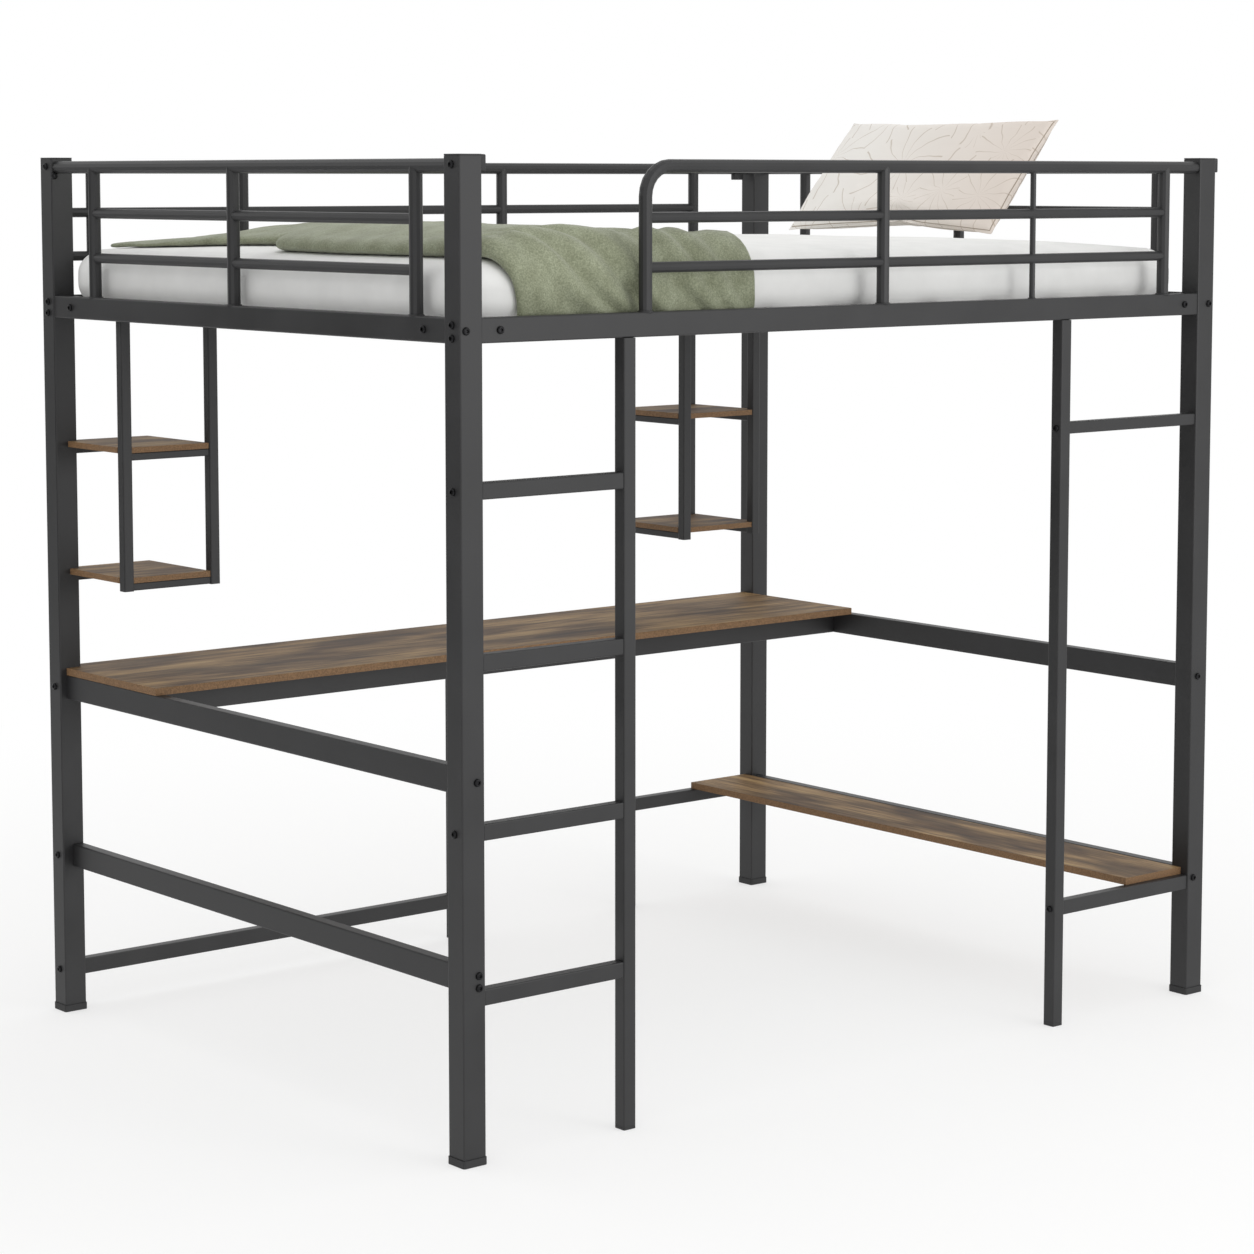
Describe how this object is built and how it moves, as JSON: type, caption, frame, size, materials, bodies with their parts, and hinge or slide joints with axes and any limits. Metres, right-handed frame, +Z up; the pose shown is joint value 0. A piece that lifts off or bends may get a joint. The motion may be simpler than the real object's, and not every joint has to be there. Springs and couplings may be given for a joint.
{
  "type": "loft bed with desk",
  "caption": "Loft bed in black square steel tube with guard rails, a ladder, a long desk board, a low bench, hanging shelves, a mattress, a folded throw and a pillow.",
  "frame": {"origin": "on the floor, at the middle of the bed's footprint", "axes": "+Z up, X along the bed with +X towards the head end where the pillow lies, -Y towards the ladder side"},
  "size_m": [1.9836, 1.4536, 1.8827],
  "materials": {
    "black_steel": "satin",
    "black_plastic": "matte",
    "brown_board": "matte",
    "white_ticking": "matte",
    "sage_fleece": "matte",
    "cream_cotton": "matte"
  },
  "bodies": {
    "frame": {"post_front_left": "black_steel", "post_front_right": "black_steel", "post_back_left": "black_steel", "post_back_right": "black_steel", "bed_rail_front": "black_steel", "bed_rail_back": "black_steel", "bed_rail_left": "black_steel", "bed_rail_right": "black_steel", "centre_beam": "black_steel", "slat_base_left": "black_steel", "slat_base_right": "black_steel", "guard_rail_left": "black_steel", "guard_rail_right": "black_steel", "guard_rail_back": "black_steel", "guard_rail_front": "black_steel", "desk_end_rail_left": "black_steel", "desk_end_rail_right": "black_steel", "desk_rail_front": "black_steel", "desk_rail_back": "black_steel", "desk_leg_middle": "black_steel", "desk_leg_right": "black_steel", "lower_end_rail_left": "black_steel", "lower_end_rail_right": "black_steel", "back_rail_low_left": "black_steel", "back_rail_low_right": "black_steel", "ladder_leg": "black_steel", "ladder_rung_1": "black_steel", "ladder_rung_2": "black_steel", "ladder_rung_3": "black_steel", "ladder_rung_4": "black_steel", "support_leg": "black_steel", "support_bar_upper": "black_steel", "support_bar_lower": "black_steel", "shelf_frame_left_front": "black_steel", "shelf_bar_left_upper": "black_steel", "shelf_bar_left_lower": "black_steel", "shelf_frame_right_left": "black_steel", "shelf_frame_right_right": "black_steel", "post_cap_front_left": "black_plastic", "post_cap_front_right": "black_plastic", "post_cap_back_left": "black_plastic", "post_cap_back_right": "black_plastic", "foot_front_left": "black_plastic", "foot_front_right": "black_plastic", "foot_back_left": "black_plastic", "foot_back_right": "black_plastic", "desk_leg_foot_middle": "black_plastic", "desk_leg_foot_right": "black_plastic", "ladder_foot": "black_plastic", "support_foot": "black_plastic", "desk_board": "brown_board", "bench_board": "brown_board", "shelf_board_left_upper": "brown_board", "shelf_board_left_lower": "brown_board", "shelf_board_right_upper": "brown_board", "shelf_board_right_lower": "brown_board"},
    "mattress": {"mattress": "white_ticking"},
    "throw": {"throw": "sage_fleece"},
    "pillow": {"pillow": "cream_cotton"}
  },
  "joints": [
    {"name": "mattress_lift", "type": "slide", "parent": "frame", "child": "mattress", "axis": [0, 0, 1], "range_m": [0, 0.35]},
    {"name": "throw_lift", "type": "slide", "parent": "mattress", "child": "throw", "axis": [0, 0, 1], "range_m": [0, 0.25]},
    {"name": "pillow_lift", "type": "slide", "parent": "mattress", "child": "pillow", "axis": [0, 0, 1], "range_m": [0, 0.25]}
  ]
}
